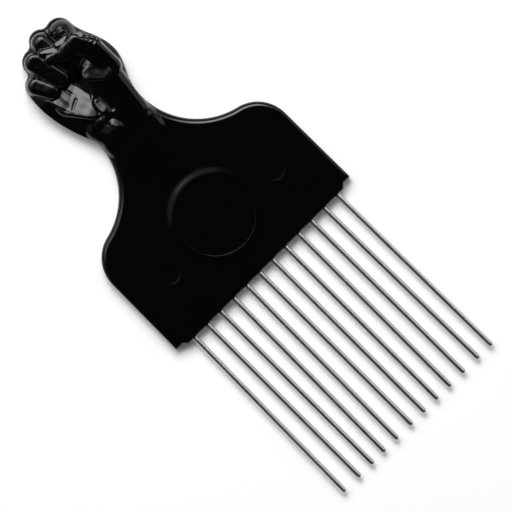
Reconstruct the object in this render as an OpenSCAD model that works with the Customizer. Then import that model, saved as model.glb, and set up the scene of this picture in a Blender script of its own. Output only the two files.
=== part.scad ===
/* [Plate] */
// Width across the edge that the tines leave
plate_w = 78.6; // [76:0.1:84]
// Width across the shoulders
shoulder_w = 78.1; // [76:0.1:84]
// Height of the shoulder corners' centres above the tine edge
shoulder_y = 30.5; // [28:0.1:33]
// Radius of the shoulder corners
shoulder_r = 12.4; // [10:0.1:14]
// Thickness of the plate
plate_t = 4.2; // [4:0.1:5]
// Rounding of the plate's rim at the tine edge and the sides
side_rim_r = 1.1; // [0.8:0.1:1.4]
// Rounding of the rim from the shoulders to the wrist
neck_rim_r = 1.9; // [1.5:0.1:1.9]
// Rise of the outer ends of the tine edge
edge_rise = 1.4; // [0.8:0.1:2]
// Length of each raised end of the tine edge
edge_end = 2.8; // [2.2:0.1:3.4]
// Length of the slope from the tine edge to its raised end
edge_slope = 1.5; // [1.2:0.1:2.2]

/* [Wrist and fist] */
// Width of the wrist
wrist_w = 20.6; // [18:0.1:23]
// Height of the wrist above the tine edge
wrist_y = 67; // [63:0.1:71]
// Width of the fist
fist_w = 30.6; // [28:0.1:33]
// Length from the wrist to the top of the middle knuckle
fist_l = 38.9; // [36:0.1:42]
// Thickness of the fist, from the flat back to the thumb
fist_t = 10; // [9.2:0.1:11.5]
// Rounding of the fist's rim
fist_rim_r = 1.8; // [1.4:0.1:1.9]

/* [Tines] */
// Diameter of the tine wire
tine_d = 1.8; // [1.6:0.05:2]
// Length of tine outside the handle
tine_out = 69.3; // [60:0.1:80]
// Length of tine moulded into the handle
tine_in = 17; // [12:0.1:20]
// Distance from tine to tine
tine_pitch = 5.87; // [5.8:0.01:6]
// Length of the rounded tip
tip_l = 1; // [0.6:0.05:1.5]

/* [Face] */
// Height of the round panel's centre above the tine edge
disc_y = 23; // [21:0.1:24]
// Radius of the round panel
disc_r = 13; // [11:0.1:14]
// Depth of the round panel's floor below the plate
disc_sink = 0.1; // [0.05:0.01:0.3]
// Height of the lip round the panel
lip_h = 0.17; // [0.12:0.01:0.3]
// Width of the lip
lip_w = 2.8; // [2:0.1:3.2]
// Distance of the ejector marks from the centre line
mark_x = 23.6; // [22:0.1:25]
// Height of the ejector marks above the tine edge
mark_y = 19.9; // [18:0.1:24]
// Radius of the ejector marks
mark_r = 3.2; // [2.5:0.1:3.6]
// Depth of the ejector marks
mark_sink = 0.12; // [0.06:0.01:0.3]

/* [Hidden] */
$fn = 48;

// Lean of each tine in degrees and its shift from the even pitch, left to right, as
// the wires stand in the moulding
tine_leans = [-0.68, -0.03, 0, -0.47, -0.53, 0.05, 0, -0.03, -0.05, 0.24, 0.82, 0.71];
tine_shifts = [-0.05, 0, 0, 0.1, 0.1, 0, 0, 0, 0, -0.05, -0.1, 0.05];
// Clearance round a tine in its bore, and past its inner end
bore_gap = 0.02;
bore_end = 0.3;
// Overrun of a cut past the surface that it opens
cut_over = 2;
// Depth to which the lip's ring is rooted in the plate
lip_root = 1;
// Length above the wrist in which the rim's rounding changes to the fist's
rim_run = 8;
// Length of the handle, and the middle of the whole pick along its length
handle_l = wrist_y + fist_l;
centre_y = (handle_l - tine_out) / 2;

// Steps round each stretch of the outline
edge_steps = 4;
side_steps = 4;
corner_steps = 9;
neck_steps = 14;
palm_steps = 14;
thumb_steps = 10;
heel_steps = 22;
knuckle_steps = 9;
// Rings across the rounded rim, and from the rim to the spine
rim_rings = 5;
face_rings = 16;

// Knuckle domes from index to little finger: x and radius as shares of the fist's
// width, top as a share of its length
knuckle_shares = [
    [0.208, 0.965, 0.147],
    [-0.003, 1, 0.129],
    [-0.193, 0.922, 0.149],
    [-0.351, 0.764, 0.142]
];
// Angle by which each notch between two domes is filled
notch_fill = 13;
// Guide points of the fist's sides: x as a share of the width, y of the length
palm_side_shares = [[0.337, 0.195], [0.494, 0.283], [0.494, 0.442]];
thumb_side_shares = [[0.494, 0.617], [0.355, 0.707]];
heel_side_shares = [[-0.444, 0.18], [-0.542, 0.399]];
// Middle of the fist, where its spine ends
fist_mid_shares = [-0.013, 0.592];

// Muscles and fingers of the relief. Each row is one tapered ridge from its start
// to its end: x, y, half width, rise at the start, the same at the end, and the
// blend into what lies below. x and widths are shares of the fist's width, y of
// its length, rise and blend of its height above the plate. Then how flat the
// ridge's top is, how sharp its flanks are, and its slope, which rises to the right
// of the run where it is above zero
wrist_share = [-0.003, -0.129, 0.34, 0.534, -0.007, -0.257, 0.327, 0.259, 0.1, 14, 0.3, 0];
forearm_share = [-0.007, -0.077, 0.327, 0.414, -0.02, -0.54, 0.261, -0.069, 0.28, 2.2, 1, 0];
fingers_share = [-0.222, 0.627, 0.216, 0.534, 0.163, 0.638, 0.229, 0.638, 0.09, 2.4, 0.9, 0];
heel_base_share = [-0.157, -0.051, 0.183, 0.517, -0.203, 0.129, 0.15, 0.483, 0.09, 8, 0.3, 0];
heel_share = [-0.222, 0.141, 0.203, 0.517, -0.392, 0.45, 0.17, 0.414, 0.09, 1.2, 1, 0];
thenar_share = [0.17, -0.051, 0.163, 0.534, 0.203, 0.396, 0.216, 0.759, 0.05, 5, 0.5, 0];
palm_share = [-0.121, 0.211, 0.131, 0.5, -0.225, 0.386, 0.18, 0.31, 0.05, 10, 0.2, -0.33];
palm_edge_share = [-0.026, 0.118, 0.065, 0.621, -0.039, 0.206, 0.056, 0.569, 0.03, 6, 0.3, -0.36];
thumb_root_share = [0.32, 0.56, 0.124, 0.931, 0.31, 0.347, 0.137, 0.724, 0.05, 7, 0.4, 0];
index_share = [0.216, 0.828, 0.134, 0.672, 0.203, 0.72, 0.131, 0.69, 0.04, 2.6, 0.5, 0];
middle_share = [-0.013, 0.879, 0.114, 0.69, 0.013, 0.72, 0.105, 0.724, 0.04, 3, 0.4, 0];
ring_share = [-0.209, 0.799, 0.114, 0.793, -0.137, 0.558, 0.105, 0.81, 0.03, 4, 0.4, 0];
little_share = [-0.369, 0.658, 0.108, 0.655, -0.297, 0.54, 0.101, 0.69, 0.03, 4, 0.4, 0];
thumb_knuckle_share = [0.229, 0.674, 0.127, 0.983, 0.32, 0.56, 0.124, 0.931, 0.04, 5, 0.4, 0];
thumb_share = [0.072, 0.684, 0.124, 0.966, 0.229, 0.674, 0.127, 0.983, 0.04, 5, 0.4, 0];
thumb_tip_share = [-0.046, 0.743, 0.092, 0.914, 0.072, 0.684, 0.124, 0.966, 0.04, 5, 0.4, 0];
ridge_shares = [
    wrist_share, forearm_share, fingers_share, heel_base_share, heel_share, thenar_share,
    palm_share, palm_edge_share, thumb_root_share, index_share, middle_share, ring_share,
    little_share, thumb_knuckle_share, thumb_share, thumb_tip_share
];

// Centre of a shoulder corner, and the one arc that runs on from it to the wrist
corner_c = [shoulder_w / 2 - shoulder_r, shoulder_y];
corner_to_wrist = [wrist_w / 2, wrist_y] - corner_c;
neck_r = (corner_to_wrist * corner_to_wrist - shoulder_r * shoulder_r)
    / (2 * (shoulder_r - corner_to_wrist[0]));
neck_c = [wrist_w / 2 + neck_r, wrist_y];
neck_angle = atan2(neck_c[1] - corner_c[1], neck_c[0] - corner_c[0]);

function arc_points(c, r, from, to, steps) =
    [for (i = [0:steps]) c + r * [cos(from + (to - from) * i / steps), sin(from + (to - from) * i / steps)]];

function bezier_point(p, t) =
    pow(1 - t, 3) * p[0] + 3 * t * pow(1 - t, 2) * p[1] + 3 * t * t * (1 - t) * p[2] + pow(t, 3) * p[3];

function bezier_points(p, steps) = [for (i = [0:steps]) bezier_point(p, i / steps)];

function line_points(a, b, steps) = [for (i = [0:steps]) a + (b - a) * i / steps];

function tail(list) = [for (i = [1:len(list) - 1]) list[i]];

function head(list) = [for (i = [0:len(list) - 2]) list[i]];

function backwards(list) = [for (i = [1:len(list)]) list[len(list) - i]];

function mirrored(list) = [for (p = list) [-p[0], p[1]]];

// A point of the fist from its shares
function on_fist(share) = [share[0] * fist_w, wrist_y + share[1] * fist_l];

function knuckle_r(i) = knuckle_shares[i][2] * fist_w;

function knuckle_c(i) = on_fist(knuckle_shares[i]) - [0, knuckle_r(i)];

// Angle on dome i at which dome j meets it, above the line between their centres
function meet_angle(i, j) =
    let (
        d = knuckle_c(j) - knuckle_c(i),
        gap = norm(d),
        opening = acos((pow(knuckle_r(i), 2) + gap * gap - pow(knuckle_r(j), 2)) / (2 * knuckle_r(i) * gap)),
        fill = opening + notch_fill
    )
    j > i ? (atan2(d[1], d[0]) + 360) % 360 - fill : atan2(d[1], d[0]) + fill;

function knuckle_points(i) =
    arc_points(
        knuckle_c(i), knuckle_r(i),
        i == 0 ? 0 : meet_angle(i, i - 1),
        i == len(knuckle_shares) - 1 ? 180 : meet_angle(i, i + 1),
        knuckle_steps
    );

// Right half of the plate's outline, from the middle of the tine edge to the neck
edge_out = plate_w / 2;
edge_right = concat(
    line_points([0, 0], [edge_out - edge_end - edge_slope, 0], edge_steps),
    [[edge_out - edge_end, edge_rise]],
    line_points([edge_out, edge_rise], corner_c + [shoulder_r, 0], side_steps),
    tail(arc_points(corner_c, shoulder_r, 0, neck_angle, corner_steps))
);
neck_right = tail(arc_points(neck_c, neck_r, 180 + neck_angle, 180, neck_steps));
palm_right = tail(bezier_points(
    [[wrist_w / 2, wrist_y], for (s = palm_side_shares) on_fist(s)],
    palm_steps
));
thumb_right = tail(bezier_points(
    [
        on_fist(palm_side_shares[2]),
        for (s = thumb_side_shares) on_fist(s),
        knuckle_c(0) + [knuckle_r(0), 0]
    ],
    thumb_steps
));
knuckles = [for (i = [0:len(knuckle_shares) - 1], p = knuckle_points(i)) p];
neck_left = mirrored(head(neck_right));
little_side = knuckle_c(3) - [knuckle_r(3), 0];
heel_left = tail(bezier_points(
    [neck_left[len(neck_left) - 1], for (s = heel_side_shares) on_fist(s), little_side],
    heel_steps
));

// The whole outline, round from the middle of the tine edge, and for each of its
// points the point of the spine that its ray runs to
outline = concat(
    edge_right, neck_right, palm_right, tail(thumb_right), tail(knuckles),
    backwards(head(heel_left)), backwards(neck_left), backwards(tail(mirrored(edge_right)))
);
spine_top = neck_steps + palm_steps;

function spine_of(i) =
    let (
        from_right = i - len(edge_right) + 1,
        from_left = len(outline) - i - len(edge_right) + 1
    )
    max(0, min(spine_top, min(from_right, from_left)));

// Height on the spine that belongs to a height on the neck's outline
function neck_spine_y(y) =
    y - (y - disc_y) * pow((wrist_y - y) / (wrist_y - neck_right[0][1]), 2);

fist_mid = on_fist(fist_mid_shares);
spine = [
    [0, disc_y],
    for (i = [1:neck_steps - 1]) [0, neck_spine_y(neck_right[i][1])],
    for (i = [0:palm_steps]) [0, wrist_y] + (fist_mid - [0, wrist_y]) * i / palm_steps
];

function unit(v) = v / norm(v);

function left_of(v) = [-v[1], v[0]];

// Inward direction at outline point i, lengthened at corners so that all of a
// ring lies at one distance inside the outline
function inward(i) =
    let (
        count = len(outline),
        p = outline[i],
        n = left_of(unit(p - outline[(i + count - 1) % count])),
        m = left_of(unit(outline[(i + 1) % count] - p))
    )
    (n + m) / (1 + n * m);

inwards = [for (i = [0:len(outline) - 1]) inward(i)];

// Larger of two heights, with the valley between them filled over the blend
function blend_max(a, b, blend) = max(a, b) + pow(max(blend - abs(a - b), 0), 2) / (4 * blend);

relief_h = fist_t - plate_t;

// Height of one ridge over point p. Its top is level or slopes across its run, and
// beyond its half width it keeps falling
function ridge_height(p, row) =
    let (
        a = on_fist(row),
        run = on_fist([row[4], row[5]]) - a,
        t = max(0, min(1, (p - a) * run / (run * run))),
        half_w = (row[2] + (row[6] - row[2]) * t) * fist_w,
        away = p - a - run * t,
        side = max(-half_w, min(half_w, -away * left_of(unit(run)))),
        top = plate_t + (row[3] + (row[7] - row[3]) * t) * relief_h + row[11] * side,
        foot = plate_t - row[8] * relief_h,
        inside = 1 - pow(norm(away) / half_w, row[9])
    )
    foot + (top - foot) * sign(inside) * pow(abs(inside), row[10]);

function relief(p, z, i = 0) =
    i == len(ridge_shares) ? z :
    relief(p, blend_max(z, ridge_height(p, ridge_shares[i]), ridge_shares[i][8] * relief_h), i + 1);

// Rounding of the rim at outline point i
rim_radii = [
    [shoulder_y, side_rim_r],
    [shoulder_y + shoulder_r, neck_rim_r],
    [wrist_y, neck_rim_r],
    [wrist_y + rim_run, fist_rim_r]
];
function rim_r(i) = lookup(outline[i][1], rim_radii);

// Rings of the front, from the parting line over the rim to the spine
function rim_inset(i, k) = rim_r(i) * (1 - cos(90 * k / rim_rings));
function rim_drop(i, k) = rim_r(i) * (1 - sin(90 * k / rim_rings));
function rim_point(i, k) = outline[i] + inwards[i] * rim_inset(i, k);
function face_point(i, k) =
    rim_point(i, rim_rings) + (spine[spine_of(i)] - rim_point(i, rim_rings)) * k / face_rings;
function raised(p, z) = [p[0], p[1], relief(p, z)];

count = len(outline);
front_points = [
    for (i = [0:count - 1]) [outline[i][0], outline[i][1], plate_t - rim_drop(i, 0)],
    for (k = [1:rim_rings], i = [0:count - 1]) raised(rim_point(i, k), plate_t - rim_drop(i, k)),
    for (k = [1:face_rings - 1], i = [0:count - 1]) raised(face_point(i, k), plate_t),
    for (p = spine) raised(p, plate_t)
];
front_rings = rim_rings + face_rings;
back_points = [
    for (k = [0:rim_rings], i = [0:count - 1])
        let (p = rim_point(i, k)) [p[0], p[1], rim_drop(i, k)],
    for (p = spine) [p[0], p[1], 0]
];
back_start = len(front_points);

function flipped(faces, turn) = turn ? [for (f = faces) [f[0], f[2], f[1]]] : faces;

// Faces of one side: rings of count points from a start, then fans to the spine
function side_faces(start, rings, turn) =
    flipped([
        for (k = [0:rings - 2], i = [0:count - 1])
            let (
                j = (i + 1) % count,
                a = start + k * count + i,
                b = start + k * count + j
            )
            each [[a, a + count, b + count], [a, b + count, b]],
        for (i = [0:count - 1])
            let (
                j = (i + 1) % count,
                a = start + (rings - 1) * count + i,
                b = start + (rings - 1) * count + j,
                s = start + rings * count + spine_of(i),
                t = start + rings * count + spine_of(j)
            )
            each s == t ? [[a, s, b]] : [[a, s, t], [a, t, b]]
    ], turn);

band_faces = [
    for (i = [0:count - 1])
        let (j = (i + 1) % count)
        each [[i, j, back_start + j], [i, back_start + j, back_start + i]]
];

// The moulding before its bores: plate, forearm and fist in one skin
module blank() {
    polyhedron(
        points = concat(front_points, back_points),
        faces = concat(
            side_faces(0, front_rings, false),
            side_faces(back_start, rim_rings + 1, true),
            band_faces
        ),
        convexity = 6
    );
}

// Section of the lip: upright inside, falling outwards in half a cosine
lip_steps = 6;
lip_foot = lip_h / lip_steps;
lip_section = [
    [disc_r, -lip_root],
    for (i = [0:lip_steps])
        [disc_r + lip_w * i / lip_steps, (lip_h + lip_foot) * (1 + cos(180 * i / lip_steps)) / 2 - lip_foot],
    [disc_r + lip_w, -lip_root]
];

module lip() {
    translate([0, disc_y, plate_t]) rotate_extrude($fn = 96) polygon(lip_section);
}

module panel_recess() {
    translate([0, disc_y, plate_t - disc_sink]) cylinder(r = disc_r, h = cut_over, $fn = 96);
}

module ejector_marks() {
    for (side = [-1, 1])
        translate([side * mark_x, mark_y, plate_t - mark_sink]) cylinder(r = mark_r, h = cut_over);
}

// Puts a part drawn along +Z on the axis of tine i, with its zero at the tine edge
module on_tine(i) {
    translate([(i - (len(tine_leans) - 1) / 2) * tine_pitch + tine_shifts[i], 0, plate_t / 2])
        rotate([0, 0, tine_leans[i]]) rotate([90, 0, 0]) children();
}

module bore() {
    translate([0, 0, -tine_in - bore_end])
        cylinder(d = tine_d + 2 * bore_gap, h = tine_in + bore_end + cut_over);
}

// Section of a tine: a straight wire with a rounded, slightly drawn tip
tip_steps = 5;
tine_section = [
    [0, -tine_in],
    [tine_d / 2, -tine_in],
    for (i = [0:tip_steps])
        [tine_d / 2 * cos(90 * i / tip_steps), tine_out - tip_l + tip_l * sin(90 * i / tip_steps)]
];

module tine(i) {
    color("silver") translate([0, -centre_y, 0]) on_tine(i) rotate_extrude() polygon(tine_section);
}

module handle() {
    color([0.06, 0.06, 0.065]) translate([0, -centre_y, 0])
        difference() {
            union() {
                blank();
                lip();
            }
            panel_recess();
            ejector_marks();
            for (i = [0:len(tine_leans) - 1]) on_tine(i) bore();
        }
}

handle();
tine(0);  // tine_01
tine(1);  // tine_02
tine(2);  // tine_03
tine(3);  // tine_04
tine(4);  // tine_05
tine(5);  // tine_06
tine(6);  // tine_07
tine(7);  // tine_08
tine(8);  // tine_09
tine(9);  // tine_10
tine(10);  // tine_11
tine(11);  // tine_12
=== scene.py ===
import math

import bpy
import numpy as np
from mathutils import Matrix, Vector, noise


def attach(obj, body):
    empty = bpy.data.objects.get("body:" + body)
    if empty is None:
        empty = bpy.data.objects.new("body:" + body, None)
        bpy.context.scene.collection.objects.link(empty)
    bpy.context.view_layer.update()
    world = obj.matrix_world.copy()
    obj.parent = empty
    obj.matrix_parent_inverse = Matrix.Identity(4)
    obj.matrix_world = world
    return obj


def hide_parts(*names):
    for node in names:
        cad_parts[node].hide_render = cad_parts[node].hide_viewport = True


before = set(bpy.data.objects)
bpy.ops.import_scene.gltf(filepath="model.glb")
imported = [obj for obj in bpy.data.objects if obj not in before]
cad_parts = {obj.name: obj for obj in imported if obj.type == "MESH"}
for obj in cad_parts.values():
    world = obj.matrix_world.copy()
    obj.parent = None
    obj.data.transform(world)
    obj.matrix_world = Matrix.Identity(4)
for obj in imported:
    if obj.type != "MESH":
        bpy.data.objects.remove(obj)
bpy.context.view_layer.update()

# A millimetre in the frame's metres
MM = 0.001

# Sizes in millimetres, as in the solids. The pick lies on its back, with y measured
# from the edge that the tines leave, and z from the back. That edge has raised ends
PLATE_W = 78.6
PLATE_T = 4.2
SHOULDER_W = 78.1
SHOULDER_Y = 30.5
SHOULDER_R = 12.4
EDGE_RISE = 1.4
EDGE_END = 2.8
EDGE_SLOPE = 1.5
SIDE_RIM_R = 1.1
NECK_RIM_R = 1.9
FIST_RIM_R = 1.8
RIM_RUN = 8.0
WRIST_W = 20.6
WRIST_Y = 67.0
FIST_W = 30.6
FIST_L = 38.9
DISC_Y = 23.0
DISC_R = 13.0
DISC_SINK = 0.1
TINE_D = 1.8
TINE_OUT = 69.3
TINE_IN = 17.0
TINE_PITCH = 5.87
TIP_L = 1.0

# Lean of each tine in degrees, and its shift at the edge, both to the right
TINE_LEANS = [-0.68, -0.03, 0, -0.47, -0.53, 0.05, 0, -0.03, -0.05, 0.24, 0.82, 0.71]
TINE_SHIFTS = [-0.05, 0, 0, 0.1, 0.1, 0, 0, 0, 0, -0.05, -0.1, 0.05]

# Middle of the pick's length, where the frame has its origin
CENTRE_Y = (WRIST_Y + FIST_L - TINE_OUT) / 2

# Shares of the fist's width and length for its outline, as in the solids. Each knuckle
# dome has the x and y of its top and its radius, from the index to the little finger
KNUCKLE_SHARES = [(0.208, 0.965, 0.147), (-0.003, 1, 0.129), (-0.193, 0.922, 0.149), (-0.351, 0.764, 0.142)]
NOTCH_FILL = 13
PALM_SIDE_SHARES = [(0.337, 0.195), (0.494, 0.283), (0.494, 0.442)]
THUMB_SIDE_SHARES = [(0.494, 0.617), (0.355, 0.707)]
HEEL_SIDE_SHARES = [(-0.444, 0.18), (-0.542, 0.399)]
FIST_MID_SHARES = (-0.013, 0.592)

# Lip of the thumb panel, which the solids have a little lower and narrower, and by how
# much the wall inside it slopes and is eased at its top and foot
LIP_H = 0.25
LIP_W = 3.3
WALL_EASE = 0.04

# Ejector marks as x, y and radius, their depth, and the width of their soft edge
MARKS = [(-23.6, 19.9, 3.2), (23.6, 19.9, 3.2), (30, 7.8, 0.9)]
MARK_SINK = 0.085
MARK_EDGE = 0.7

# Depth and half width of the groove at the parting line
GROOVE = 0.04

# Waves of the fist's skin: height, length, and how far below the wrist they start
WAVE_H = 0.05
WAVE_L = 2.1
WAVE_START = 10.0

# Tapered ridges of the relief, in millimetres: the start as x, y, half width and height,
# the end likewise, and the blend. Then come two exponents, of the top, which is flatter
# with a higher one, and of the flanks, which are steeper with a lower one. Last is the
# slope across the top, which rises to the right of the run where it is above zero
RIDGES = {
    "wrist": ((-0.1, 61, 10.4, 6.9), (-0.2, 53, 9.4, 4.1), 1, 5, 0.45, 0),
    "forearm": ((-0.2, 64, 10, 6.6), (-0.6, 46, 8, 3.9), 1.6, 2.2, 1, 0),
    "finger_mass": ((-6.8, 91.4, 6.6, 7.3), (5, 91.8, 7, 7.9), 0.5, 2.4, 0.9, 0),
    "heel_base": ((-4.6, 64.5, 5.4, 7.1), (-5.9, 69.6, 5.4, 6.9), 0.7, 3, 0.6, 0),
    "heel": ((-6.8, 72.5, 6.2, 7.1), (-12, 86.5, 5.2, 6.8), 0.5, 1.2, 1, 0),
    "thenar": ((5.2, 65, 5, 7.3), (6.2, 82.4, 6.6, 8.6), 0.3, 5, 0.5, 0),
    "palm": ((-3.7, 75.2, 4, 7), (-6.9, 82, 5.5, 6.2), 0.3, 10, 0.2, -0.21),
    "palm_edge": ((-0.9, 71.7, 2.2, 7.8), (-1.1, 75, 2, 7.5), 0.15, 6, 0.3, -0.27),
    "wrist_fold": ((-2.2, 69.2, 2.4, 7.35), (0.7, 67.8, 3, 7.35), 0.5, 6, 0.4, 0),
    "wrist_crease": ((-1.5, 65.4, 1.9, 7.7), (-2, 66.8, 1.7, 7.7), 0.3, 5, 0.4, -0.27),
    "thenar_face": ((7, 80.7, 2.8, 8.8), (3.6, 83.5, 2.8, 8.8), 0.3, 12, 0.2, -0.12),
    "thumb_root": ((9.8, 88.8, 3.8, 9.6), (9.5, 80.5, 4.2, 8.4), 0.3, 7, 0.4, 0),
    "index": ((6.6, 99.2, 4.1, 8.1), (6.2, 95, 4, 8.2), 0.25, 2.2, 0.8, 0),
    "middle": ((-0.4, 101.2, 3.5, 8.2), (0.4, 95, 3.2, 8.4), 0.25, 3, 0.4, 0),
    "ring": ((-6.4, 98.1, 3.5, 8.8), (-4.2, 88.7, 3.2, 8.9), 0.2, 6, 0.3, 0),
    "little": ((-11.3, 92.6, 3.3, 8), (-9.1, 88, 3.1, 8.2), 0.2, 4, 0.4, 0),
    "thumb_knuckle": ((7, 93.5, 4.1, 9.86), (9.8, 88.8, 3.8, 9.6), 0.25, 5, 0.4, 0),
    "thumb": ((3.4, 93.6, 3.8, 9.8), (7, 93.4, 4, 9.86), 0.25, 5, 0.4, 0),
    "thumb_tip": ((-2.4, 95.4, 2.4, 9.4), (3.4, 93.2, 3.4, 9.7), 0.25, 5, 0.4, 0),
    "nail": ((-2.7, 98.9, 1.1, 9.15), (0.9, 96.7, 1.2, 9.2), 0.25, 9, 0.25, 0.28),
    "thumb_bevel": ((2.6, 97.3, 1.1, 9.5), (7, 96.5, 1.2, 8.95), 0.25, 9, 0.25, 0.25),
    "knuckle_bevel": ((8.8, 95.7, 1.1, 9.4), (10.5, 94.1, 1.1, 9.4), 0.2, 20, 0.15, 0.34),
    "root_bevel": ((10.5, 93, 1.1, 9.35), (12.8, 89.2, 1.1, 9.1), 0.2, 20, 0.15, 0.34),
}

# Creases of the palm, the index finger and the thumb's knuckle, in millimetres: start,
# end, half width, depth
CREASES = [
    ((-8.6, 85.5), (-8.5, 80.4), 0.5, 0.12),
    ((-8.2, 79.2), (-5.4, 80.6), 0.7, 0.22),
    ((-5.7, 85), (-5.2, 82.8), 0.8, 0.15),
    ((3.9, 101.2), (8.8, 99.7), 0.7, 0.25),
    ((-1, 78), (-2.6, 75.1), 0.6, 0.3),
    ((-2.6, 75.1), (-3.3, 72.4), 0.6, 0.3),
    ((10.4, 92.4), (12.6, 93.2), 0.35, 0.25),
    ((11, 90.9), (13.2, 91.7), 0.35, 0.25),
    ((11.4, 89.4), (13.8, 90.2), 0.35, 0.25),
]

# Steps along each stretch of the outline, and passes that ease the notches of the fist
EDGE_STEPS = 100
SIDE_STEPS = 40
SHOULDER_STEPS = 45
NECK_STEPS = 70
PALM_STEPS = 70
THUMB_STEPS = 50
DOME_STEPS = 45
HEEL_STEPS = 110
NOTCH_PASSES = 5

# Each bend of the raised ends has no other outline point nearer than this, so that the
# rounding of the rim doesn't fold there
CORNER_REACH = 2.3

# Rings across the rim, the face and each zone of the thumb panel
RIM_RINGS = 12
FACE_RINGS = 80
LIP_RINGS = 28
WALL_RINGS = 10
FOOT_RINGS = 4
FLOOR_RINGS = 12

# How far short of the wall's foot the outermost ring of the panel's floor lies
FLOOR_MARGIN = 0.02

# Angle on the lip's foot that the plate's rays reach at the neck, in degrees
SWING_END = 86

# Points round a tine, rings along its straight length, and steps of its rounded tip
TINE_SIDES = 32
SHAFT_RINGS = 12
TIP_STEPS = 8

# Colours, and the light of its own that the table shows to the camera, in reflections
# and through clear things
PLASTIC_COLOUR = (0.0012, 0.0012, 0.0012, 1)
STEEL_COLOUR = (0.64, 0.64, 0.645, 1)
TABLE_COLOUR = (0.92, 0.92, 0.92, 1)
TABLE_LIGHT = 0.06

# Half the table's width in metres, and in millimetres how far it lies below the back, so
# that no faces coincide
TABLE_HALF = 4.0
TABLE_GAP = 0.05

# The picture in millimetres: its width on the pick, the point at its middle, the height
# of the camera above that point, and the width of its sensor
PICTURE_W = 163.84
PICTURE_X = 0.0
PICTURE_Y = 4.6
PICTURE_Z = 5.0
PICTURE_MID = np.array([PICTURE_X, PICTURE_Y - CENTRE_Y, PICTURE_Z])
CAMERA_UP = 1500.0
SENSOR_W = 36

# Square lamps that face the middle of the picture: azimuth and angle from the zenith in
# degrees, distance and width in metres, power in watts. The key is three lamps, one in
# front of another, so that it fades towards its rim
LAMPS = {
    "key_edge": (61, 40, 2.46, 1.88, 30.5),
    "key_middle": (61, 40, 2.43, 1.42, 22.0),
    "key_core": (61, 40, 2.4, 0.9, 8.0),
    "fill": (102, 44, 2.4, 1.7, 18.5),
    "top": (92, 22, 2.5, 1.1, 1.1),
    "wall": (130, 60, 2.8, 3.2, 6.0),
    "side": (-3, 55, 2.4, 1.8, 10.0),
    "strip": (92, 19, 2.4, 0.3, 0.7),
}

# Grey of the world by height, where 0 is the horizon and 1 the zenith
WORLD_TONES = [(0.01, 0.12), (0.2, 0.04), (0.85, 0.03), (0.97, 0.006)]


def arc_points(centre, radius, start, stop, steps):
    """Points along an arc, from and to angles in degrees."""
    a = np.radians(np.linspace(start, stop, steps + 1))
    return np.asarray(centre) + radius * np.stack([np.cos(a), np.sin(a)], 1)


def bezier_points(guides, steps):
    """Points along a cubic curve through its four guide points."""
    t = np.linspace(0, 1, steps + 1)[:, None]
    a, b, c, d = [np.asarray(guide, float) for guide in guides]
    return (1 - t) ** 3 * a + 3 * t * (1 - t) ** 2 * b + 3 * t * t * (1 - t) * c + t ** 3 * d


def line_points(a, b, steps):
    """Points along a straight line."""
    t = np.linspace(0, 1, steps + 1)[:, None]
    return np.asarray(a, float) * (1 - t) + np.asarray(b, float) * t


def on_fist(share):
    """A point of the fist, in millimetres, from its shares."""
    return np.array([share[0] * FIST_W, WRIST_Y + share[1] * FIST_L])


def knuckle(i):
    """Centre and radius of a knuckle's dome."""
    x, top, r = KNUCKLE_SHARES[i]
    return on_fist((x, top)) - np.array([0, r * FIST_W]), r * FIST_W


def meet_angle(i, j):
    """Angle on dome i at which dome j meets it, less the filled notch."""
    (ci, ri), (cj, rj) = knuckle(i), knuckle(j)
    d = cj - ci
    gap = math.hypot(*d)
    fill = math.degrees(math.acos((ri * ri + gap * gap - rj * rj) / (2 * ri * gap))) + NOTCH_FILL
    angle = math.degrees(math.atan2(d[1], d[0]))
    return angle % 360 - fill if j > i else angle + fill


def ease_bends(points, passes):
    """Eases the bends of an open outline by averaging each point with its neighbours."""
    p = points.copy()
    for _ in range(passes):
        p[1:-1] = (p[:-2] + 2 * p[1:-1] + p[2:]) / 4
    return p


def neck_arc(shoulder, wrist):
    """Centre and radius of the hollow neck, and the angle at which it meets the shoulder."""
    run = wrist - shoulder
    radius = (run @ run - SHOULDER_R ** 2) / (2 * (SHOULDER_R - run[0]))
    centre = wrist + np.array([radius, 0])
    turn = math.degrees(math.atan2(*(centre - shoulder)[::-1]))
    return centre, radius, turn


def plate_side(shoulder, turn):
    """Right half of the plate's outline: tine edge, raised end, side and shoulder."""
    out = PLATE_W / 2
    bends = [[out - EDGE_END - EDGE_SLOPE, 0], [out - EDGE_END, EDGE_RISE], [out, EDGE_RISE]]
    side = np.concatenate([
        line_points([0, 0], bends[0], EDGE_STEPS),
        bends[1:],
        line_points(bends[2], shoulder + [SHOULDER_R, 0], SIDE_STEPS)[1:],
        arc_points(shoulder, SHOULDER_R, 0, turn, SHOULDER_STEPS)[1:],
    ])
    near = np.linalg.norm(side[:, None] - np.array(bends), axis=2).min(1)
    return side[(near == 0) | (near > CORNER_REACH)]


def fist_top():
    """Outline of the thumb's side and the four knuckle domes, with their notches eased."""
    index, index_r = knuckle(0)
    guides = [PALM_SIDE_SHARES[-1], *THUMB_SIDE_SHARES]
    stretches = [bezier_points([*map(on_fist, guides), index + [index_r, 0]], THUMB_STEPS)[1:-1]]
    last = len(KNUCKLE_SHARES) - 1
    for i in range(last + 1):
        start = 0 if i == 0 else meet_angle(i, i - 1)
        stop = 180 if i == last else meet_angle(i, i + 1)
        stretches.append(arc_points(*knuckle(i), start, stop, DOME_STEPS))
    return ease_bends(np.concatenate(stretches), NOTCH_PASSES)


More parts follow.
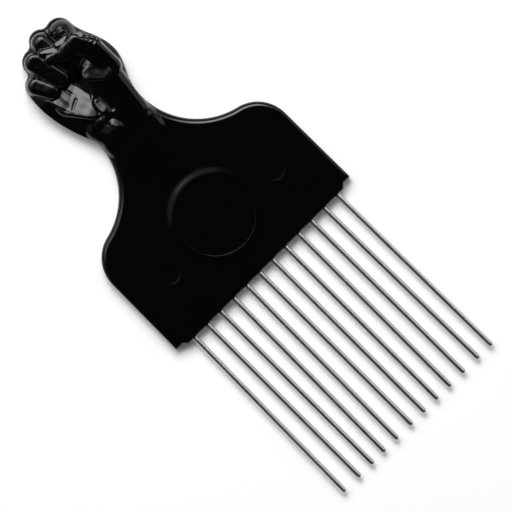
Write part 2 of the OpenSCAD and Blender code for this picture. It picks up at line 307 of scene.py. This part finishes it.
def make_outline():
    """The closed outline, anticlockwise from the middle of the tine edge.

    Also gives how many points the plate's right half has, then the neck and the palm's
    side after it.
    """
    shoulder = np.array([SHOULDER_W / 2 - SHOULDER_R, SHOULDER_Y])
    wrist = np.array([WRIST_W / 2, WRIST_Y])
    neck_c, neck_r, turn = neck_arc(shoulder, wrist)
    side = plate_side(shoulder, turn)
    neck = arc_points(neck_c, neck_r, 180 + turn, 180, NECK_STEPS)[1:]
    palm = bezier_points([wrist, *map(on_fist, PALM_SIDE_SHARES)], PALM_STEPS)[1:]
    mirror = np.array([-1, 1])
    neck_left = neck[:-1] * mirror
    little, little_r = knuckle(-1)
    guides = [neck_left[-1], *map(on_fist, HEEL_SIDE_SHARES), little - [little_r, 0]]
    heel = bezier_points(guides, HEEL_STEPS)[1:-1]
    outline = np.concatenate([
        side, neck, palm, fist_top(), heel[::-1], neck_left[::-1], (side * mirror)[:0:-1]])
    return outline, len(side), len(neck), len(palm)


def inward(outline):
    """Inward direction at each outline point, lengthened at corners."""
    def unit(v):
        return v / np.linalg.norm(v, axis=1)[:, None]

    def left(v):
        return np.stack([-v[:, 1], v[:, 0]], 1)

    n = left(unit(outline - np.roll(outline, 1, 0)))
    m = left(unit(np.roll(outline, -1, 0) - outline))
    return (n + m) / (1 + np.sum(n * m, 1))[:, None]


def rim_radius(outline):
    """Rounding of the rim at each outline point: full from the shoulder up, less on the sides."""
    top = SHOULDER_Y + SHOULDER_R
    heights = [SHOULDER_Y, top, WRIST_Y, WRIST_Y + RIM_RUN]
    radii = [SIDE_RIM_R, NECK_RIM_R, NECK_RIM_R, FIST_RIM_R]
    return np.interp(outline[:, 1], heights, radii)


def rounded_rim(outline, inwards, rim_r):
    """Rings of the rounded rim, from its flank inwards, each with its distance from the flat."""
    rings = []
    for k in range(RIM_RINGS + 1):
        angle = math.pi / 2 * k / RIM_RINGS
        xy = outline + inwards * (rim_r * (1 - math.cos(angle)))[:, None]
        rings.append((xy, rim_r * (1 - math.sin(angle))))
    return rings


def ray_ends(outline, n_side, n_neck, n_palm):
    """Where the rays end that run inwards over the face from the rim.

    The plate's rays end at the foot of the lip, given as its right and its left half.
    Those of the neck and the fist end on a spine, given with each ray's place on it,
    which rises from the top of the lip's foot to the middle of the fist.
    """
    foot_r = DISC_R + LIP_W
    disc_c = np.array([0, DISC_Y])
    top = np.array([0, DISC_Y + foot_r])

    # The plate's rays run straight at the panel's middle, and above its height they swing
    # more and more towards its top
    ray = outline[:n_side] - disc_c
    angles = np.arctan2(ray[:, 1], ray[:, 0])
    swing = np.clip((outline[:n_side, 1] - DISC_Y) / (outline[n_side - 1, 1] - DISC_Y), 0, 1)
    angles += swing ** 3 * (math.radians(SWING_END) - angles)
    right = disc_c + foot_r * np.stack([np.cos(angles), np.sin(angles)], 1)
    left = (right * [-1, 1])[:0:-1]

    # At the wrist the spine's points are level with the outline's, and further down they
    # drop more and more below them, to the top of the lip's foot
    neck_y = outline[n_side:n_side + n_neck, 1]
    lag = ((WRIST_Y - neck_y) / (WRIST_Y - neck_y[0])) ** 2
    rise_y = neck_y - (neck_y - top[1]) * lag
    mid = on_fist(FIST_MID_SHARES)
    spine = np.concatenate([
        [top], np.stack([np.zeros(n_neck), rise_y], 1), line_points([0, WRIST_Y], mid, n_palm)[1:]])

    # Opposite rays share a place on it, and those at the top of the fist share its end
    up = np.arange(1, len(outline) - 2 * n_side + 2)
    place = np.minimum(np.minimum(up, up[::-1]), len(spine) - 1)
    return right, left, spine, place


def blend_max(a, b, blend):
    """Larger of two heights, with the valley between them filled over the blend."""
    return np.maximum(a, b) + np.maximum(blend - np.abs(a - b), 0) ** 2 / (4 * blend)


def nearest(p, a, b):
    """Share of the way from a to b that is nearest to each point of p, and the way from there."""
    run = np.subtract(b, a)
    t = np.clip((p - a) @ run / (run @ run), 0, 1)
    return t, p - a - run * t[:, None]


def ridge_height(p, start, end, blend, flat, flank, slope):
    """Height of one tapered ridge over points p. It keeps falling beyond its edges."""
    x0, y0, half_w0, top0 = start
    x1, y1, half_w1, top1 = end
    t, away = nearest(p, (x0, y0), (x1, y1))
    half_w = half_w0 + (half_w1 - half_w0) * t
    top = top0 + (top1 - top0) * t
    to_right = np.array([y1 - y0, x0 - x1]) / math.hypot(x1 - x0, y1 - y0)
    top = top + slope * np.clip(away @ to_right, -half_w, half_w)
    inside = 1 - (np.linalg.norm(away, axis=1) / half_w) ** flat
    foot = PLATE_T - blend
    return foot + (top - foot) * np.sign(inside) * np.abs(inside) ** flank


def unevenness(p):
    """Slight waviness of the fist's skin, which grows from below the wrist up to it."""
    waves = [noise.noise(Vector((x / WAVE_L, y / WAVE_L, 0))) for x, y in p.tolist()]
    return WAVE_H * np.array(waves) * np.clip((p[:, 1] - WRIST_Y + WAVE_START) / WAVE_START, 0, 1)


def relief(p, z):
    """Height of the front over points p, from the plate's own height z."""
    for start, end, blend, flat, flank, slope in RIDGES.values():
        z = blend_max(z, ridge_height(p, start, end, blend, flat, flank, slope), blend)
    z = z + unevenness(p)
    for start, end, half_w, depth in CREASES:
        away = nearest(p, start, end)[1]
        off = np.linalg.norm(away, axis=1) / half_w
        z = z - depth * np.clip(1 - off * off, 0, None) ** 2
    return z


def ejector_marks(p, z):
    """Sinks the shallow round marks into the plate's face of height z."""
    for x, y, r in MARKS:
        away = np.linalg.norm(p - [x, y], axis=1)
        t = np.clip((r + MARK_EDGE / 2 - away) / MARK_EDGE, 0, 1)
        z = z - MARK_SINK * t * t * (3 - 2 * t)
    return z


def lip_rise(t):
    """Rise of the lip from its top, t = 0, to its foot, t = 1."""
    return LIP_H * (1 + math.cos(math.pi * t)) / 2


def panel_profile():
    """Radius and height of each ring of the thumb panel, from inside the lip's foot to its middle."""
    # The lip
    rings = []
    foot_r = DISC_R + LIP_W
    for k in range(1, LIP_RINGS + 1):
        radius = foot_r - (LIP_W - WALL_EASE) * k / LIP_RINGS
        rings.append((radius, PLATE_T + lip_rise((radius - DISC_R) / LIP_W)))

    # The rounding at its top, the wall and the bevel at the wall's foot
    lip_top = PLATE_T + lip_rise(WALL_EASE / LIP_W)
    for k in range(1, WALL_RINGS + 1):
        a = math.pi / 2 * k / WALL_RINGS
        rings.append((DISC_R + WALL_EASE * (1 - math.sin(a)), lip_top - WALL_EASE * (1 - math.cos(a))))
    floor_z = PLATE_T - DISC_SINK
    rings.append((DISC_R - WALL_EASE, floor_z + WALL_EASE))
    for k in range(1, FOOT_RINGS + 1):
        a = math.pi / 2 * k / FOOT_RINGS
        radius = DISC_R - WALL_EASE - WALL_EASE * math.sin(a)
        rings.append((radius, floor_z + WALL_EASE * (1 - math.sin(a))))

    # The floor
    for k in range(FLOOR_RINGS):
        rings.append(((DISC_R - 2 * WALL_EASE - FLOOR_MARGIN) * (1 - k / FLOOR_RINGS), floor_z))
    return rings


class Skin:
    """A surface made of rings of points, in millimetres, and the faces between them."""

    def __init__(self):
        self.points = []
        self.faces = []

    def ring(self, xy, z):
        """Adds points at height z, and gives their numbers."""
        first = len(self.points)
        self.points += np.column_stack([xy, np.broadcast_to(z, len(xy))]).tolist()
        return np.arange(first, len(self.points))

    def join(self, outer, inner):
        """Faces from a ring of the front to the next one in, as triangles where two rays meet."""
        for face in zip(outer, np.roll(outer, -1), np.roll(inner, -1), inner):
            self.faces.append(face if face[2] != face[3] else face[:3])

    def join_below(self, upper, lower):
        """Faces from a ring of the side or the back to the next one."""
        self.faces.extend(zip(upper, lower, np.roll(lower, -1), np.roll(upper, -1)))

    def to_object(self, name):
        """The skin as an object in the frame."""
        points = np.array(self.points)
        points[:, 1] -= CENTRE_Y
        return mesh_object(name, points * MM, self.faces)


def add_panel(skin, outer, outer_xy):
    """The thumb panel: the lip inwards from its foot, its steep wall and the floor."""
    disc_c = np.array([0, DISC_Y])
    ray = (outer_xy - disc_c) / (DISC_R + LIP_W)
    for radius, z in panel_profile():
        inner = skin.ring(disc_c + ray * radius, z)
        skin.join(outer, inner)
        outer = inner
    centre = skin.ring(disc_c[None], PLATE_T - DISC_SINK)[0]
    for a, b in zip(outer, np.roll(outer, -1)):
        skin.faces.append((a, b, centre))


def add_back(skin, front, parting, outline, rim):
    """From the front's rim down: the groove at the parting line, the rounded rim and the flat back."""
    upper_edge = skin.ring(outline, PLATE_T / 2 + GROOVE)
    lower_edge = skin.ring(outline, PLATE_T / 2 - GROOVE)
    back = [skin.ring(xy, off_flat) for xy, off_flat in rim]
    rings = [front, upper_edge, parting, lower_edge, *back]
    for upper, lower in zip(rings, rings[1:]):
        skin.join_below(upper, lower)
    skin.faces.append(tuple(back[-1][::-1]))


def build_handle():
    """The moulding as one skin: front with its relief, thumb panel, side and flat back."""
    outline, n_side, n_neck, n_palm = make_outline()
    inwards = inward(outline)
    rim_r = rim_radius(outline)
    rim = rounded_rim(outline, inwards, rim_r)
    lip_right, lip_left, spine, place = ray_ends(outline, n_side, n_neck, n_palm)
    skin = Skin()
    parting = skin.ring(outline + inwards * GROOVE, PLATE_T / 2)

    # The front, ring by ring: the rim first, then the face up to the lip's foot and the
    # spine, where opposite rays of the neck and the fist share their last points
    xy, off_flat = rim[0]
    front = [skin.ring(xy, PLATE_T - off_flat)]
    for xy, off_flat in rim[1:]:
        front.append(skin.ring(xy, relief(xy, PLATE_T - off_flat)))
    rim_end = outline + inwards * rim_r[:, None]
    ends = np.concatenate([lip_right, spine[place], lip_left])
    for k in range(1, FACE_RINGS):
        xy = rim_end + (ends - rim_end) * (k / FACE_RINGS)
        front.append(skin.ring(xy, relief(xy, ejector_marks(xy, PLATE_T))))
    lip_foot = skin.ring(np.concatenate([lip_right, lip_left]), PLATE_T)
    right, left = np.split(lip_foot, [n_side])
    ridge = skin.ring(spine, relief(spine, PLATE_T))
    front.append(np.concatenate([right, ridge[place], left]))
    for outer, inner in zip(front, front[1:]):
        skin.join(outer, inner)

    panel_rim = np.concatenate([right, ridge[:1], left])
    add_panel(skin, panel_rim, np.concatenate([lip_right, spine[:1], lip_left]))
    add_back(skin, front[0], parting, outline, rim)
    obj = skin.to_object("moulded_handle")
    obj.data.polygons[-1].use_smooth = False
    return obj


def mesh_object(name, points, faces):
    """A smooth-shaded mesh object from points in metres."""
    mesh = bpy.data.meshes.new(name)
    mesh.from_pydata(points.tolist(), [], [tuple(int(i) for i in f) for f in faces])
    mesh.validate()
    mesh.shade_smooth()
    obj = bpy.data.objects.new(name, mesh)
    bpy.context.scene.collection.objects.link(obj)
    return obj


def wire_form():
    """Points and faces of a wire: a round bar that runs along y to its rounded tip."""
    radius = TINE_D / 2
    straight = TINE_OUT - TIP_L
    rings = [(radius, -TINE_IN)] + [(radius, y) for y in np.linspace(0, straight, SHAFT_RINGS)]
    for k in range(1, TIP_STEPS):
        a = math.pi / 2 * k / TIP_STEPS
        rings.append((radius * math.cos(a), straight + TIP_L * math.sin(a)))
    around = np.radians(np.arange(TINE_SIDES) * 360 / TINE_SIDES)
    points = [(0, -TINE_IN, 0)]
    for r, y in rings:
        points += [(r * math.cos(a), y, r * math.sin(a)) for a in around]
    points.append((0, TINE_OUT, 0))
    tip = len(points) - 1
    last_ring = tip - TINE_SIDES
    faces = []
    for j in range(TINE_SIDES):
        k = (j + 1) % TINE_SIDES
        faces.append((0, 1 + j, 1 + k))
        for i in range(1, last_ring, TINE_SIDES):
            faces.append((i + j, i + TINE_SIDES + j, i + TINE_SIDES + k, i + k))
        faces.append((last_ring + j, tip, last_ring + k))
    return np.array(points), faces


def build_tine(number, form, material):
    """One wire, placed and leaning as it stands in the moulding."""
    p, faces = form
    lean = math.radians(TINE_LEANS[number])
    at_edge = (number - (len(TINE_LEANS) - 1) / 2) * TINE_PITCH + TINE_SHIFTS[number]
    x = at_edge + p[:, 0] * math.cos(lean) + p[:, 1] * math.sin(lean)
    y = p[:, 0] * math.sin(lean) - p[:, 1] * math.cos(lean) - CENTRE_Y
    obj = mesh_object(f"wire_{number + 1:02d}", np.stack([x, y, p[:, 2] + PLATE_T / 2], 1) * MM, faces)
    obj.data.materials.append(material)
    node = f"tine_{number + 1:02d}"
    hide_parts(node)
    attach(obj, "root")


def set_inputs(node, values):
    """Sets a node's inputs by their names."""
    for name, value in values.items():
        node.inputs[name].default_value = value


def new_material(name):
    """A material, with its nodes, links and shader."""
    mat = bpy.data.materials.new(name)
    mat.use_nodes = True
    nodes = mat.node_tree.nodes
    return mat, nodes, mat.node_tree.links, nodes["Principled BSDF"]


def vary_roughness(nodes, links, bsdf, grain, low, high):
    """Varies the shader's roughness from low to high with the grain."""
    spread = nodes.new("ShaderNodeMapRange")
    set_inputs(spread, {"To Min": low, "To Max": high})
    links.new(grain.outputs["Fac"], spread.inputs["Value"])
    links.new(spread.outputs["Result"], bsdf.inputs["Roughness"])


def black_plastic():
    """Glossy black moulded plastic, slightly mottled over a few millimetres."""
    mat, nodes, links, bsdf = new_material("black_plastic")
    set_inputs(bsdf, {"Base Color": PLASTIC_COLOUR, "IOR": 1.39})
    coord = nodes.new("ShaderNodeTexCoord")
    grain = nodes.new("ShaderNodeTexNoise")
    set_inputs(grain, {"Scale": 120, "Detail": 6})
    bump = nodes.new("ShaderNodeBump")
    set_inputs(bump, {"Strength": 0.15, "Distance": 0.2 * MM})
    links.new(coord.outputs["Object"], grain.inputs["Vector"])
    vary_roughness(nodes, links, bsdf, grain, low=0.08, high=0.15)
    links.new(grain.outputs["Fac"], bump.inputs["Height"])
    links.new(bump.outputs["Normal"], bsdf.inputs["Normal"])
    return mat


def tine_steel():
    """Bright drawn wire, with faint draw lines along the tine."""
    mat, nodes, links, bsdf = new_material("tine_steel")
    set_inputs(bsdf, {"Base Color": STEEL_COLOUR, "Metallic": 1})
    coord = nodes.new("ShaderNodeTexCoord")
    stretch = nodes.new("ShaderNodeMapping")
    set_inputs(stretch, {"Scale": (1200, 40, 1200)})
    grain = nodes.new("ShaderNodeTexNoise")
    set_inputs(grain, {"Scale": 1})
    links.new(coord.outputs["Object"], stretch.inputs["Vector"])
    links.new(stretch.outputs["Vector"], grain.inputs["Vector"])
    vary_roughness(nodes, links, bsdf, grain, low=0.22, high=0.3)
    return mat


def white_table():
    """White table top, a little lighter to the camera and in reflections than the lamps make it."""
    mat, nodes, links, bsdf = new_material("white_table")
    set_inputs(bsdf, {"Base Color": TABLE_COLOUR, "Roughness": 0.9, "Specular IOR Level": 0})
    set_inputs(bsdf, {"Emission Color": (1, 1, 1, 1)})
    path = nodes.new("ShaderNodeLightPath")
    seen = path.outputs["Is Camera Ray"]
    for ray in ("Is Glossy Ray", "Is Transmission Ray"):
        either = nodes.new("ShaderNodeMath")
        either.operation = "MAXIMUM"
        links.new(seen, either.inputs[0])
        links.new(path.outputs[ray], either.inputs[1])
        seen = either.outputs[0]
    strength = nodes.new("ShaderNodeMath")
    strength.operation = "MULTIPLY"
    strength.inputs[1].default_value = TABLE_LIGHT
    links.new(seen, strength.inputs[0])
    links.new(strength.outputs[0], bsdf.inputs["Emission Strength"])
    return mat


def build_table():
    """The table that the pick lies on, as the scene's floor."""
    mesh = bpy.data.meshes.new("floor")
    half, z = TABLE_HALF, -TABLE_GAP * MM
    corners = [(-half, -half, z), (half, -half, z), (half, half, z), (-half, half, z)]
    mesh.from_pydata(corners, [], [(0, 1, 2, 3)])
    floor = bpy.data.objects.new("floor", mesh)
    bpy.context.scene.collection.objects.link(floor)
    mesh.materials.append(white_table())


def build_world():
    """A dim studio, lighter towards the horizon."""
    world = bpy.data.worlds.new("studio")
    bpy.context.scene.world = world
    world.use_nodes = True
    nodes, links = world.node_tree.nodes, world.node_tree.links
    coord = nodes.new("ShaderNodeTexCoord")
    split = nodes.new("ShaderNodeSeparateXYZ")
    ramp = nodes.new("ShaderNodeValToRGB")
    stops = ramp.color_ramp.elements
    for place, tone in WORLD_TONES:
        stops.new(place).color = (tone, tone, tone, 1)
    stops.remove(stops[0])
    stops.remove(stops[-1])
    links.new(coord.outputs["Generated"], split.inputs["Vector"])
    links.new(split.outputs["Z"], ramp.inputs["Fac"])
    links.new(ramp.outputs["Color"], nodes["Background"].inputs["Color"])


def facing(away, up=(0, 0, 1)):
    """Rotation that points a lamp or camera against the direction away."""
    z = Vector([float(v) for v in away]).normalized()
    x = Vector(up).cross(z).normalized()
    y = z.cross(x)
    return Matrix((x, y, z)).transposed().to_euler()


def add_softbox(name, azimuth, polar, distance, size, power):
    """A square area lamp that faces the middle of the picture."""
    a, p = math.radians(azimuth), math.radians(polar)
    away = np.array([math.sin(p) * math.cos(a), math.sin(p) * math.sin(a), math.cos(p)])
    light = bpy.data.lights.new(name, "AREA")
    light.size = size
    light.energy = power
    lamp = bpy.data.objects.new(name, light)
    bpy.context.scene.collection.objects.link(lamp)
    lamp.location = PICTURE_MID * MM + away * distance
    lamp.rotation_euler = facing(away)


def build_camera():
    """Straight above, turned so that the fist points to the picture's upper left."""
    camera = bpy.data.cameras.new("camera")
    obj = bpy.data.objects.new("camera", camera)
    bpy.context.scene.collection.objects.link(obj)
    camera.sensor_width = SENSOR_W
    camera.lens = camera.sensor_width * CAMERA_UP / PICTURE_W
    obj.location = (PICTURE_MID + [0, 0, CAMERA_UP]) * MM
    obj.rotation_euler = facing((0, 0, 1), up=(1, 1, 0))
    bpy.context.scene.camera = obj


build_camera()
build_table()
build_world()
for lamp_name, lamp in LAMPS.items():
    add_softbox(lamp_name, *lamp)

handle = build_handle()
handle.data.materials.append(black_plastic())
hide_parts("handle")
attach(handle, "root")

wire = wire_form()
steel = tine_steel()
for tine_number in range(len(TINE_LEANS)):
    build_tine(tine_number, wire, steel)

bpy.context.scene.view_settings.view_transform = "Standard"
